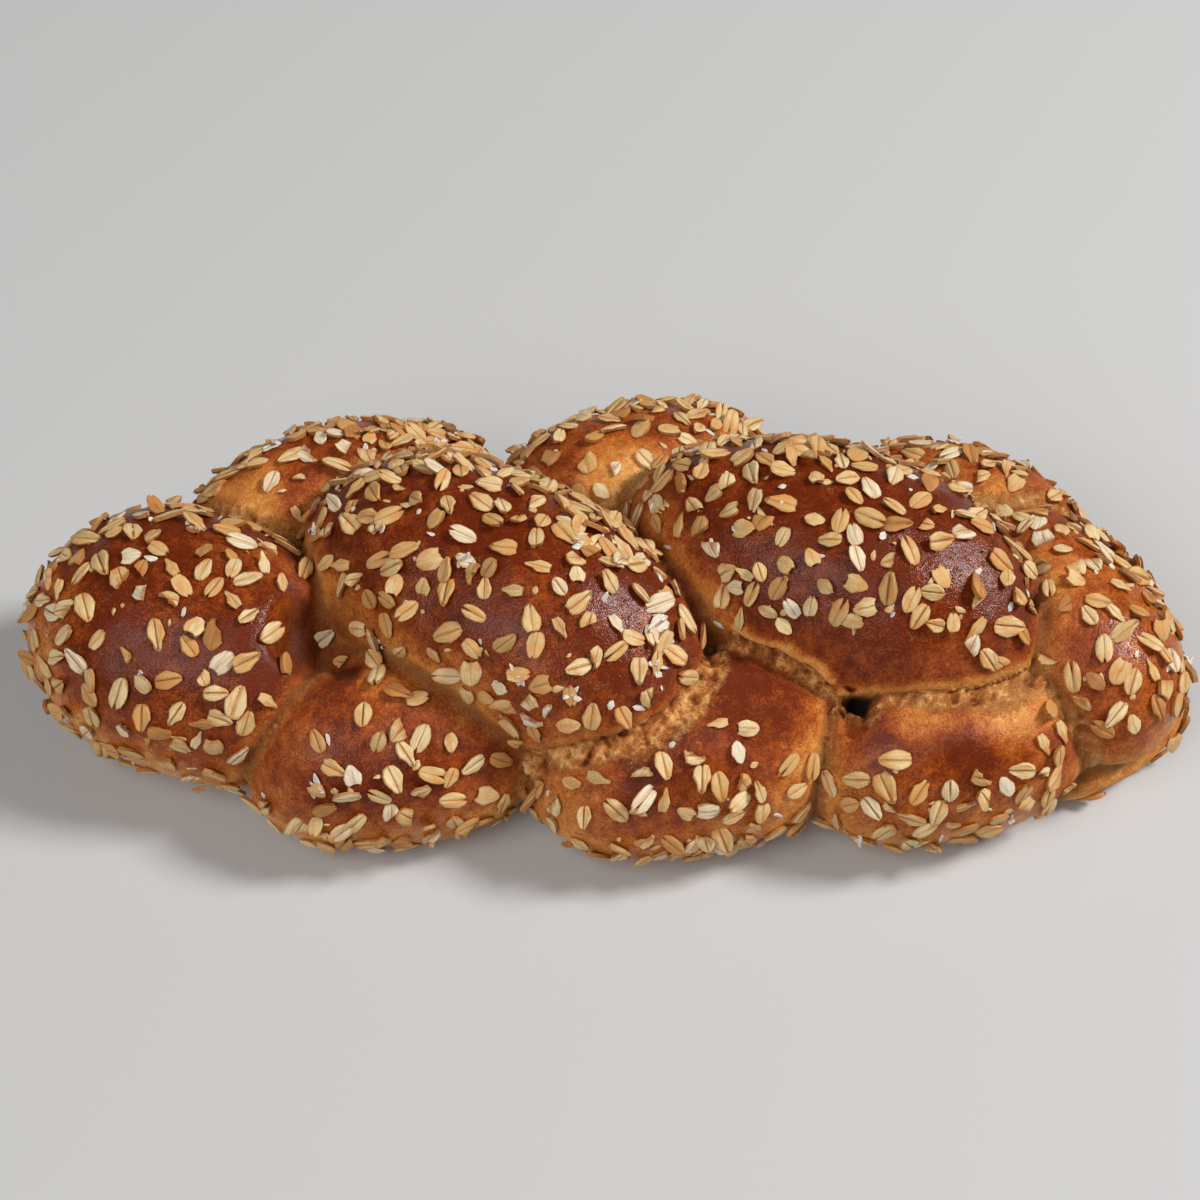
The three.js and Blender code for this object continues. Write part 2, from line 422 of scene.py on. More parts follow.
# %% Store the masks
BROWNING = dict(left_end=1.0, middle_1=0.97, middle_2=1.0, right_end=0.78, front_1=1.0, front_2=0.94,
                front_3=0.86, back_1=0.78, back_2=0.76, back_3=0.68, right_tuck=0.95, back_turn=0.7,
                heart=0.6)
GOLDEN = {  # spots of each lobe: middle, radius and how much lighter, or darker below zero
    "left_end": [((-163, -26, 38), 15, 0.5), ((-152, -42, 26), 16, 0.5), ((-128, -50, 16), 15, 0.4),
                 ((-148, -44, 16), 26, 0.45), ((-160, -18, 44), 24, 0.3), ((-102, -12, 66), 17, 0.22)],
    "middle_1": [((-77, -19, 57), 14, 0.45), ((-60, -38, 54), 13, 0.35), ((-86, 2, 56), 18, 0.4),
                 ((-40, -50, 56), 16, 0.3)],
    "middle_2": [((12, -6, 62), 18, 0.35), ((12, 12, 62), 16, 0.3), ((26, -24, 58), 13, 0.4)],
    "right_end": [((126, -14, 58), 15, 0.45), ((158, -10, 44), 24, 0.25)],
    "front_1": [((-90, -60, 40), 18, 0.3), ((-66, -43, 51), 8, 0.4), ((-60, -50, 46), 18, 0.2)],
    "front_2": [((66, -58, 38), 18, 0.45), ((-10, -64, 34), 18, 0.4), ((46, -46, 49), 15, -0.1),
                ((54, -66, 30), 14, 0.4)],
    "front_3": [((66, -62, 36), 14, 0.35), ((112, -46, 49), 17, 0.6), ((88, -54, 49), 11, 0.4),
                ((102, -62, 40), 15, -0.2)],
    "back_1": [((-110, 24, 46), 20, 0.55)],
    "back_2": [((22, 22, 60), 22, 0.7), ((34, 40, 54), 20, 0.3), ((6, 28, 57), 20, 0.65)],
    "back_3": [((112, 14, 54), 20, 0.5)],
}
LIGHT_CREASE = 8.5  # about how far the light dough reaches out of a crease
DRY_SPOT = (46, -48, 49)


def attribute(piece, name, values):
    added = piece.data.attributes.new(name, "FLOAT", "POINT")
    added.data.foreach_set("value", np.asarray(values, np.float32))


facing = normals(loaf)
height = place[:, 2]
crown = smooth_step(-0.5, 0.85, facing[:, 2])
reach = LIGHT_CREASE + 5 * noise_at(place, 24, 11)
open_crust = smooth_step(-1.0, 1, gap / reach) ** 1.1
bake = open_crust * (0.5 + 0.5 * crown) * (0.35 + 0.65 * smooth_step(2, 38, height))
bake *= np.array([BROWNING[name] for name in names])[owner]
ragged = 1 + 0.35 * noise_at(place, 11, 12)
for lobe, spots in GOLDEN.items():
    own = owner == names.index(lobe)
    for middle, radius, lighter in spots:
        far = distance(place, middle) / (radius * ragged)
        bake *= 1 - lighter * (1 - smooth_step(0.35, 1.15, far)) * own
bake *= 1 - 0.75 * np.clip(lip, 0, 1)
glazed = (0.3 + 0.7 * smooth_step(4, 18, gap)) * smooth_step(12, 28, distance(place, DRY_SPOT))
# The pit and crease masks hold painted shade for the crust's colour.
masks = dict(bake=bake, tear=tear, pit_shade=pit_shade, ridge=ridge, crease_shade=painted_crease_shade, glazed=glazed, along=along,
             across=across)
for name, values in masks.items():
    attribute(loaf, name, values)
print("bake from", round(bake.min(), 2), "to", round(bake.max(), 2))

# %% [markdown]
# ## The flat base
# A loaf stands on what the tray left flat. The skin is cut at the table's height and the cut is filled.

# %% Cut the base
CUT_REACH = 1e-7  # so small that the cut never merges two vertices
only(loaf)
bpy.ops.object.mode_set(mode="EDIT")
bpy.ops.mesh.select_all(action="SELECT")
bpy.ops.mesh.bisect(plane_co=(0, 0, 0), plane_no=(0, 0, 1), clear_inner=True, threshold=CUT_REACH)
bpy.ops.mesh.select_mode(type="EDGE")
bpy.ops.mesh.select_all(action="DESELECT")
bpy.ops.mesh.select_non_manifold(extend=False, use_wire=False, use_multi_face=False,
                                 use_non_contiguous=False, use_verts=False)
bpy.ops.mesh.fill(use_beauty=True)
bpy.ops.mesh.select_all(action="SELECT")
bpy.ops.mesh.normals_make_consistent(inside=False)
bpy.ops.object.mode_set(mode="OBJECT")
base = [face for face in loaf.data.polygons if face.normal.z < -0.999 and abs(face.center.z) < 1e-6]
print("base:", len(base), "faces,", round(sum(face.area for face in base) / MM**2 / 100, 1), "square cm")
bpy.ops.object.shade_smooth_by_angle(angle=math.radians(50))
print("loaf, mm:", (np.ptp(points(loaf), axis=0) / MM).round(1), "triangles:",
      sum(len(p.vertices) - 2 for p in loaf.data.polygons))

# %% [markdown]
# ## Node helpers
# A material is a small network. A few helpers keep the cells short: one adds a node and fills its
# sockets, from values or from other nodes, a few add the nodes that are used most, and one starts a
# shader group with named sockets.

# %% Building nodes
def put(tree, kind, out=0, **sockets):
    """Adds a node and returns its chosen output. Keys are properties or sockets, with _ for a space."""
    node = tree.nodes.new(kind)
    for key, value in sockets.items():
        if hasattr(node, key) and key not in node.inputs:
            setattr(node, key, value)
            continue
        numbered = key[0] == "i" and key[1:].isdigit()
        socket = node.inputs[int(key[1:]) if numbered else key.replace("_", " ")]
        if isinstance(value, bpy.types.NodeSocket):
            tree.links.new(value, socket)
        else:
            socket.default_value = value
    return node.outputs[out]


def math_node(tree, operation, a, b=0.5, clamp=False):
    return put(tree, "ShaderNodeMath", operation=operation, use_clamp=clamp, i0=a, i1=b)


def plus(tree, a, b):
    return math_node(tree, "ADD", a, b)


def times(tree, a, b):
    return math_node(tree, "MULTIPLY", a, b)


def mapped(tree, value, low, high, bottom=0.0, top=1.0):
    """Turns the range from low to high into the range from bottom to top."""
    return put(tree, "ShaderNodeMapRange", Value=value, From_Min=low, From_Max=high,
               To_Min=bottom, To_Max=top)


def swing(tree, value, low, high, amount):
    return mapped(tree, value, low, high, -amount, amount)


def blend(tree, factor, a, b, how="MIX"):
    node = tree.nodes.new("ShaderNodeMix")
    node.data_type, node.blend_type = "RGBA", how
    for index, value in ((0, factor), (6, a), (7, b)):
        if isinstance(value, bpy.types.NodeSocket):
            tree.links.new(value, node.inputs[index])
        else:
            node.inputs[index].default_value = value
    return node.outputs[2]


def ramp(tree, value, stops):
    node = tree.nodes.new("ShaderNodeValToRGB")
    while len(node.color_ramp.elements) < len(stops):
        node.color_ramp.elements.new(0.5)
    for element, (place_on, colour) in zip(node.color_ramp.elements, stops):
        element.position, element.color = place_on, colour
    tree.links.new(value, node.inputs[0])
    return node.outputs[0]


def attribute_value(tree, name):
    return put(tree, "ShaderNodeAttribute", out=2, attribute_name=name)


def group(name, inputs, outputs):
    tree = bpy.data.node_groups.new(name, "ShaderNodeTree")
    for label, kind, value in inputs:
        socket = tree.interface.new_socket(label, in_out="INPUT", socket_type=kind)
        if value is not None:
            socket.default_value = value
    for label, kind in outputs:
        tree.interface.new_socket(label, in_out="OUTPUT", socket_type=kind)
    return tree, tree.nodes.new("NodeGroupInput").outputs, tree.nodes.new("NodeGroupOutput").inputs


def place_group(tree, made, **sockets):
    node = tree.nodes.new("ShaderNodeGroup")
    node.node_tree = made
    for key, value in sockets.items():
        socket = node.inputs[key.replace("_", " ")]
        if isinstance(value, bpy.types.NodeSocket):
            tree.links.new(value, socket)
        else:
            socket.default_value = value
    return node.outputs


def rgb(red, green, blue):
    """A colour as a paint program gives it, from 0 to 255, made linear for the shader."""
    linear = [((c / 255 + 0.055) / 1.055) ** 2.4 if c > 10 else c / 3294.6 for c in (red, green, blue)]
    return (*linear, 1)


def new_material(name):
    made = bpy.data.materials.new(name)
    made.use_nodes = True
    return made, made.node_tree, made.node_tree.nodes["Principled BSDF"]


print("a middling crust colour:", [round(c, 3) for c in rgb(148, 67, 19)])

# %% [markdown]
# ## A shared effect: grain
# Baked food is never smooth close up. This group makes a fine height and a mottle at a chosen size from
# a place on the surface, and both materials use it with their own values.

# %% Build the grain group
grain, given, gives = group(
    "bake_grain",
    [("Place", "NodeSocketVector", None), ("Size", "NodeSocketFloat", 1.0),
     ("Pores", "NodeSocketFloat", 0.5)],
    [("Height", "NodeSocketFloat"), ("Mottle", "NodeSocketFloat"), ("Specks", "NodeSocketFloat")],
)
per_grain = math_node(grain, "DIVIDE", 1.0, given["Size"])
scaled = put(grain, "ShaderNodeVectorMath", operation="SCALE", i0=given["Place"], Scale=per_grain)
grains = put(grain, "ShaderNodeTexNoise", Vector=scaled, Scale=1.0, Detail=3.0, Roughness=0.6)
mottle = put(grain, "ShaderNodeTexNoise", Vector=scaled, Scale=0.13, Detail=4.0, Roughness=0.6)
cells = put(grain, "ShaderNodeTexVoronoi", Vector=scaled, Scale=0.42)
pores = mapped(grain, cells, 0.08, 0.3, 1.0, 0.0)
sparse = put(grain, "ShaderNodeTexNoise", Vector=scaled, Scale=0.2, Detail=1.0)
specks = times(grain, pores, mapped(grain, sparse, 0.5, 0.62))
sunk = times(grain, specks, given["Pores"])
grain.links.new(math_node(grain, "SUBTRACT", grains, sunk), gives["Height"])
grain.links.new(mottle, gives["Mottle"])
grain.links.new(specks, gives["Specks"])
print("group:", grain.name, "with", len(grain.nodes), "nodes")

# %% [markdown]
# ## The baked crust
# Egg wash browns from gold in the creases, through orange and red-brown, to a dark mahogany on the
# crowns, and it shines. Where the loaf tore there is no wash: the dough is pale, dry and fibrous. One
# colour ramp follows the stored bake, unevened by broad, middling and fine noise. The crease mask lays
# painted shade over it in the closed creases and folds, the tear mask lays the pale dough over it, with
# painted shade in its craters and painted light on its fibres, and a painted shade turns the pits nearly
# black.

# %% Build the crust material
CRUST_TONES = [  # from a crease to a crown
    (0.0, rgb(222, 166, 98)), (0.2, rgb(206, 136, 62)), (0.45, rgb(182, 104, 42)),
    (0.7, rgb(148, 67, 19)), (1.0, rgb(99, 33, 5)),
]
# The torn dough is pale; its darkest tone is painted shade in a crater and its palest is painted light on a
# raised fibre.
TORN_TONES_AND_SHADE = [  # from a crater to a raised fibre
    (0.34, rgb(96, 48, 20)), (0.45, rgb(160, 92, 42)), (0.56, rgb(200, 134, 72)),
    (0.72, rgb(232, 186, 122)),
]
# The specks are pores of the crust; the next colour is painted shade in closed creases and folds, and the
# last is a nearly black painted shade inside the pits.
SPECK, CREASE_SHADE_COLOUR, PIT_SHADE_COLOUR = rgb(60, 24, 14), rgb(86, 38, 12), rgb(44, 24, 12)
UNGLAZED, TORN_DRY = (0.95, 0.95, 0.95, 1), (0.85, 0.85, 0.85, 1)  # roughness, as greys
CRUST_RELIEF = 0.18  # mm of height in the bump
SHINE = 0.22

crust, tree, skin = new_material("baked_crust")
where = put(tree, "ShaderNodeTexCoord", out=3)
in_mm = put(tree, "ShaderNodeVectorMath", operation="SCALE", i0=where, Scale=1 / MM)
close = place_group(tree, grain, Place=in_mm, Size=0.5, Pores=0.5)
broad = put(tree, "ShaderNodeTexNoise", Vector=in_mm, Scale=1 / 22, Detail=3.0, Roughness=0.55)
freckle = put(tree, "ShaderNodeTexNoise", Vector=in_mm, Scale=1.0, Detail=2.0, Roughness=0.6)
browned = plus(tree, attribute_value(tree, "bake"), swing(tree, broad, 0.3, 0.7, 0.16))
browned = plus(tree, browned, swing(tree, close["Mottle"], 0.3, 0.7, 0.16))
browned = plus(tree, browned, swing(tree, freckle, 0.3, 0.7, 0.1))
browned = math_node(tree, "ADD", browned, swing(tree, close["Height"], 0.25, 0.75, 0.12), clamp=True)
baked_colour = ramp(tree, browned, CRUST_TONES)
speckled = blend(tree, times(tree, close["Specks"], 0.55), baked_colour, SPECK)
# Painted shade darkens the closed creases and the folds.
crease_shaded = blend(tree, times(tree, attribute_value(tree, "crease_shade"), 0.75), speckled, CREASE_SHADE_COLOUR)

run = put(tree, "ShaderNodeCombineXYZ", X=attribute_value(tree, "along"), Y=attribute_value(tree, "across"))
stretched = put(tree, "ShaderNodeVectorMath", operation="MULTIPLY", i0=run, i1=(1.0, 0.3, 1.0))
fibre = put(tree, "ShaderNodeTexNoise", Vector=stretched, Scale=0.6, Detail=4.0, Roughness=0.65)
crumb = put(tree, "ShaderNodeTexNoise", Vector=in_mm, Scale=0.36, Detail=6.0, Roughness=0.75)
# The torn dough's tone follows its relief, so painted shade darkens the craters and painted light brightens
# the raised fibres.
torn_tone = plus(tree, times(tree, fibre, 0.4), times(tree, crumb, 0.6))
torn_tone = plus(tree, torn_tone, swing(tree, attribute_value(tree, "ridge"), -1.5, 1.1, 0.17))
torn_colour = ramp(tree, torn_tone, TORN_TONES_AND_SHADE)
tear_edge = plus(tree, attribute_value(tree, "tear"), swing(tree, crumb, 0.25, 0.75, 0.5))
tear_edge = plus(tree, tear_edge, swing(tree, close["Height"], 0.25, 0.75, 0.25))
tear_mask = mapped(tree, tear_edge, 0.2, 0.95)
opened = blend(tree, tear_mask, crease_shaded, torn_colour)
# Painted shade turns the insides of the pits nearly black.
pit_shade_mask = mapped(tree, attribute_value(tree, "pit_shade"), 0.25, 0.8)
tree.links.new(blend(tree, pit_shade_mask, opened, PIT_SHADE_COLOUR), skin.inputs["Base Color"])

glaze = mapped(tree, close["Height"], 0.3, 0.7, 0.16, 0.28)
patchy = plus(tree, glaze, swing(tree, broad, 0.35, 0.65, 0.08))
brushed = blend(tree, attribute_value(tree, "glazed"), UNGLAZED, patchy)
tree.links.new(blend(tree, tear_mask, brushed, TORN_DRY), skin.inputs["Roughness"])
skin.inputs["Specular IOR Level"].default_value = SHINE
torn_relief = times(tree, torn_tone, times(tree, tear_mask, 5.0))
relief = plus(tree, plus(tree, times(tree, close["Height"], 0.35), freckle), torn_relief)
bumped = put(tree, "ShaderNodeBump", Strength=1.0, Distance=CRUST_RELIEF * MM, Height=relief)
tree.links.new(bumped, skin.inputs["Normal"])
loaf.data.materials.clear()
loaf.data.materials.append(crust)
print("crust material with", len(tree.nodes), "nodes")

# %% [markdown]
# ## One oat flake at a time
# A rolled oat is a groat pressed flat: an oval, blunt at one end and narrower at the other, mostly with
# a crease along the middle and often with a split tip. No two are alike, so there are many kinds. Each
# is modelled once from a disc: it is cut along its crease, its ends are drawn in, its faces are inset and
# raised, and its corners are shaken a little. The outline is stored as its rim before a solidify gives
# it thickness. Then it is twisted and curled as it dried. Broken flakes are the same ones, cut across.

# %% Model the flakes
rng = np.random.default_rng(7)
FLAKES = [
    dict(length=9.8, width=6.1, notch=0.0, narrow=0.8, blunt=0.1, curl=12, twist=8, plump=0.1),
    dict(length=9.2, width=5.5, notch=0.4, narrow=1.0, blunt=0.0, curl=-10, twist=-12, plump=0.08),
    dict(length=10.6, width=6.0, notch=0.0, narrow=0.7, blunt=0.2, curl=18, twist=10, plump=0.12),
    dict(length=8.6, width=5.9, notch=0.0, narrow=1.0, blunt=0.25, curl=10, twist=-6, plump=0.0),
    dict(length=9.6, width=5.2, notch=0.0, narrow=0.6, blunt=0.0, curl=24, twist=16, plump=0.12),
    dict(length=8.2, width=5.0, notch=0.25, narrow=0.9, blunt=0.1, curl=-16, twist=10, plump=0.0),
    dict(length=7.4, width=5.4, notch=0.0, narrow=0.9, blunt=0.0, curl=8, twist=-10, plump=0.1),
    dict(length=10.2, width=4.8, notch=0.8, narrow=1.1, blunt=0.1, curl=14, twist=14, plump=0.1),
    dict(length=7.8, width=5.6, notch=0.0, narrow=0.8, blunt=0.3, curl=14, twist=0, plump=0.0),
    dict(length=9.0, width=5.6, notch=0.15, narrow=0.75, blunt=0.1, curl=20, twist=-18, plump=0.12),
    dict(length=6.8, width=4.6, notch=0.0, narrow=0.8, blunt=0.0, curl=10, twist=8, plump=0.0),
    dict(length=8.8, width=3.6, notch=0.0, narrow=0.6, blunt=0.2, curl=26, twist=20, plump=0.0),
]
BREAKS = [(0.1, 0.5), (0.3, -0.7), (-0.1, 0.9), (0.35, 0.3), (0.0, -0.3), (-0.35, 0.6)]  # place, slant
FLAKE_SIDES = 14
FLAKE_THICK = 1.25
INSET, RAISED, SHAKEN = 0.17, 0.08, 0.08  # in shares of half a flake
RELIEF_SCALE = 2.0  # mm for each share of height
CREASE_CUT = (0, 1, 0.0001)  # the way the cut along the crease faces, a hair off level


def model_flake(number, length, width, notch, narrow, blunt, curl, twist, plump, broken=None):
    bpy.ops.object.select_all(action="DESELECT")
    bpy.ops.mesh.primitive_circle_add(vertices=FLAKE_SIDES, radius=1, fill_type="NGON")
    flake = bpy.context.object
    flake.name = f"flake_{number}"
    bpy.ops.object.mode_set(mode="EDIT")
    bpy.ops.mesh.select_all(action="SELECT")
    bpy.ops.mesh.bisect(plane_co=(0, 0, 0), plane_no=CREASE_CUT)
    if notch:
        pick(flake, lambda p: (p[:, 0] > 0.9) & (abs(p[:, 1]) < 0.05))
        bpy.ops.transform.translate(value=(-notch, 0, 0))
    pick(flake, lambda p: p[:, 0] > 0.4)
    bpy.ops.transform.resize(value=(1, narrow, 1), center_override=(0, 0, 0))
    pick(flake, lambda p: p[:, 0] < -0.8)
    bpy.ops.transform.translate(value=(blunt, 0, 0))
    bpy.ops.mesh.select_all(action="SELECT")
    bpy.ops.mesh.select_mode(type="FACE")
    bpy.ops.mesh.inset(thickness=INSET, use_individual=plump > 0)
    bpy.ops.transform.translate(value=(0, 0, RAISED + plump))
    bpy.ops.mesh.select_mode(type="VERT")
    if broken:
        bpy.ops.mesh.select_all(action="SELECT")
        bpy.ops.mesh.bisect(plane_co=(broken[0], 0, 0), plane_no=(1, broken[1], 0), clear_outer=True)
    bpy.ops.mesh.select_all(action="SELECT")
    bpy.ops.transform.vertex_random(offset=SHAKEN, seed=number)
    bpy.ops.object.mode_set(mode="OBJECT")
    edges = Counter(key for face in flake.data.polygons for key in face.edge_keys)
    outline = sorted({corner for key, faces in edges.items() if faces == 1 for corner in key})
    attribute(flake, "rim", np.isin(np.arange(len(flake.data.vertices)), outline))
    flake.scale = (length / 2, width / 2, RELIEF_SCALE)
    bpy.ops.object.transform_apply(location=False, rotation=False, scale=True)
    apply_modifier(flake, "SOLIDIFY", thickness=FLAKE_THICK, offset=-1)
    apply_modifier(flake, "SIMPLE_DEFORM", deform_method="TWIST", deform_axis="X",
                   angle=math.radians(twist))
    turned(flake, -90, 0, 0)
    bent(flake, -curl)
    turned(flake, 90, 0, 0)
    return flake


whole = [model_flake(n, **form) for n, form in enumerate(FLAKES)]
halves = [model_flake(n + 20, **FLAKES[n], broken=cut) for n, cut in enumerate(BREAKS)]
print("flake faces:", [len(f.data.polygons) for f in whole + halves])
print("flake thick:", round(np.ptp(points(whole[0])[:, 2]), 2), "mm")

# %% [markdown]
# ## Crumbs of oat
# Rolling also leaves slivers and whitish crumbs of flour. A crumb starts as a ball of twenty faces,
# which is pulled out of shape and squeezed flat.

# %% Model the crumbs
CRUMBS = [(3.6, 1.7, 1.0), (2.6, 2.0, 0.9), (4.8, 1.4, 0.9), (1.8, 1.4, 0.9)]  # length, width, thickness


def model_crumb(number, length, width, thick):
    bpy.ops.object.select_all(action="DESELECT")
    bpy.ops.mesh.primitive_ico_sphere_add(subdivisions=1, radius=1)
    crumb = bpy.context.object
    crumb.name = f"crumb_{number}"
    bpy.ops.object.mode_set(mode="EDIT")
    bpy.ops.mesh.select_all(action="SELECT")
    bpy.ops.transform.vertex_random(offset=0.35, seed=number)
    bpy.ops.object.mode_set(mode="OBJECT")
    crumb.scale = (length / 2, width / 2, thick / 2)
    bpy.ops.object.transform_apply(location=False, rotation=False, scale=True)
    return crumb


bits = [model_crumb(n, *size) for n, size in enumerate(CRUMBS)]
print("crumb faces:", [len(b.data.polygons) for b in bits])

# %% [markdown]
# ## Where the oats fell
# The loaf was sprinkled while its glaze was wet. Flakes lie thick on some tops and towards the back, thin
# out on some near flanks, and never stick in a crease or on a tear, which opened later. Places are drawn
# at random over the skin with a fixed seed, and a place is kept by that rule and by its distance from
# the flakes that are already there.

# %% Choose the places
TRIES = 16000
SPACING = (4.1, 7.8)  # mm between the middles of two flakes, closer where they lie thick
STICKS_ABOVE = 3  # mm over the table
BARE = [  # middle and radius
    ((80, -43, 58), 15), ((62, -36, 56), 12), ((96, -46, 55), 9), ((50, -44, 49), 17), ((36, -40, 50), 13),
    ((70, -56, 42), 14), ((71, -42, 37), 9), ((92, -57, 47), 14), ((108, -56, 46), 13), ((8, -2, 58), 8),
    ((24, -14, 60), 12), ((-78, -46, 48), 14), ((147, -48, 22), 20), ((71, -48, 46), 10),
    ((-84, -28, 53), 13), ((-110, 25, 47), 12), ((-92, -60, 38), 13),
]
THICK = [((-54, 50, 52), 24), ((-42, 22, 73), 24), ((20, 62, 48), 26), ((60, 26, 80), 26),
         ((0, -12, 74), 17), ((150, 4, 56), 20)]
SPARSE = dict(left_end=0.72, front_1=0.75, back_2=0.85, back_turn=0.8)

loaf.data.calc_loop_triangles()
corners = np.array([t.vertices for t in loaf.data.loop_triangles])
skin_points, skin_normals = points(loaf) / MM, normals(loaf)
sides = skin_points[corners]
area = np.linalg.norm(np.cross(sides[:, 1] - sides[:, 0], sides[:, 2] - sides[:, 0]), axis=1) / 2
area[sides[:, :, 2].max(1) < STICKS_ABOVE] = 0


def draw(count):
    """Random places on the skin, even over its area, with their normals."""
    chosen = rng.choice(len(corners), count, p=area / area.sum())
    share = np.sort(rng.random((count, 2)), axis=1)
    weights = np.column_stack([share[:, 0], share[:, 1] - share[:, 0], 1 - share[:, 1]])
    at = (sides[chosen] * weights[:, :, None]).sum(1)
    up = (skin_normals[corners[chosen]] * weights[:, :, None]).sum(1)
    return at, up / np.linalg.norm(up, axis=1)[:, None]


def covered(at, up):
    """The chance that a flake stuck at each place, from 0 to 1."""
    away, owner, beside, gap = plait(at)
    tear = torn(at, away, owner, beside, gap)[0]
    chance = 0.46 + 0.24 * smooth_step(-0.2, 0.7, up[:, 1]) + 0.38 * noise_at(at, 14, 8)
    for middle, radius in THICK:
        chance += 0.5 * (1 - smooth_step(0.3, 1.1, distance(at, middle) / radius))
    chance *= smooth_step(2, 6, gap) * (1 - np.clip(2 * tear, 0, 1)) * smooth_step(2, 7, at[:, 2])
    sparse = np.array([SPARSE.get(name, 1.0) for name in names])
    chance *= smooth_step(-0.75, -0.35, up[:, 2]) * sparse[owner]
    for middle, radius in BARE:
        chance *= smooth_step(0.8, 1.1, distance(at, middle) / radius)
    return np.clip(chance, 0, 1)


at, up = draw(TRIES)
chance = covered(at, up)
luck = rng.random(len(at))
spacing = rng.uniform(*SPACING, len(at))
kept = []
for n in np.flatnonzero(luck < chance):
    if not kept or distance(at[kept], at[n]).min() > spacing[n] * (1.3 - 0.6 * chance[n]):
        kept.append(n)
print("flakes:", len(kept))

# %% [markdown]
# ## Lay the flakes
# Each flake is a copy of a modelled one, turned to the skin, pressed in a little and tilted a little.
# Thousands of separate objects would be slow, so whole flakes, broken ones and crumbs are each joined as
# one mesh from arrays. Every flake keeps its rim and its own tint, and a UV map gives the place within
# it. White crumbs of flour lie in small groups. A copy that would come too near the table is left off.

# %% Join the copies
LOWEST = 0.5  # no flake comes nearer to the table than this
LEANING = 0.25  # the share of flakes that stand up on an edge
LIFT, LEAN_LIFT = 0.75, 1.6  # mm that a flat flake is lifted, and how much more as it leans
BROKEN = 0.2  # the share of broken flakes
FLOURY_BELOW, TOASTED_ABOVE = 0.03, 0.9  # shares of the flakes
CRUMB_SHARE = 0.08
FLOUR_GROUPS, IN_GROUP, GROUP_SPREAD = 36, 6, 1.1
FLOUR_TINT = 0.0


def laid(name, kinds, rows):
    """rows hold place, normal, which kind, spin, tilts, lift, size and tint of each copy."""
    spots, faces, flat, tints, rims = [], [], [], [], []
    shapes = []
    for kind in kinds:
        own, rim = points(kind), np.zeros(len(kind.data.vertices))
        if "rim" in kind.data.attributes:
            kind.data.attributes["rim"].data.foreach_get("value", rim)
        own_faces = [list(p.vertices) for p in kind.data.polygons]
        shapes.append((own, own[:, :2] / np.ptp(own[:, :2], axis=0) + 0.5, own_faces, rim))
    first = 0
    for place_on, normal, which, spin, tilt_x, tilt_y, lift, size, tint in rows:
        own, map_at, own_faces, rim = shapes[which]
        upright = Vector(normal).to_track_quat("Z", "Y").to_matrix()
        turn = upright @ Euler((tilt_x, tilt_y, spin)).to_matrix()
        laid_at = (own * size) @ np.array(turn).T + place_on + np.array(normal) * lift
        if laid_at[:, 2].min() < LOWEST:
            continue
        spots.append(laid_at)
        faces += [[first + corner for corner in face] for face in own_faces]
        flat.append(map_at)
        tints.append(np.full(len(own), tint))
        rims.append(rim)
        first += len(own)
    mesh = bpy.data.meshes.new(name)
    mesh.from_pydata((np.concatenate(spots) * MM).tolist(), [], faces)
    layer = mesh.uv_layers.new(name="flake")
    corner = np.empty(len(mesh.loops), int)
    mesh.loops.foreach_get("vertex_index", corner)
    layer.data.foreach_set("uv", np.concatenate(flat)[corner].ravel())
    piece = bpy.data.objects.new(name, mesh)
    bpy.context.collection.objects.link(piece)
    attribute(piece, "tint", np.concatenate(tints))
    attribute(piece, "rim", np.concatenate(rims))
    only(piece)
    bpy.ops.object.shade_smooth_by_angle(angle=math.radians(40))
    for kind in kinds:
        bpy.data.objects.remove(kind)
    print(name, "copies:", len(spots), "triangles:", sum(len(p.vertices) - 2 for p in mesh.polygons))
    return piece


def flake_tint():
    toasted = rng.random()
    if toasted < FLOURY_BELOW:
        return rng.uniform(0, 0.15)
    if toasted > TOASTED_ABOVE:
        return rng.uniform(0.72, 1.0)
    return float(np.clip(rng.normal(0.4, 0.17), 0.12, 0.72))


def spin():
    return rng.uniform(0, 2 * math.pi)


def row(n, kinds, size):
    """A flake at place n. Most lie nearly flat, and some lean on their neighbours."""
    tilt = np.radians(rng.normal(0, 10, 2))
    if rng.random() < LEANING:
        tilt[rng.integers(2)] = math.radians(rng.uniform(15, 36)) * rng.choice([-1, 1])
    lift = LIFT + LEAN_LIFT * math.sin(min(0.9, np.hypot(*tilt)))
    return at[n], up[n], rng.integers(kinds), spin(), *tilt, lift, size, flake_tint()


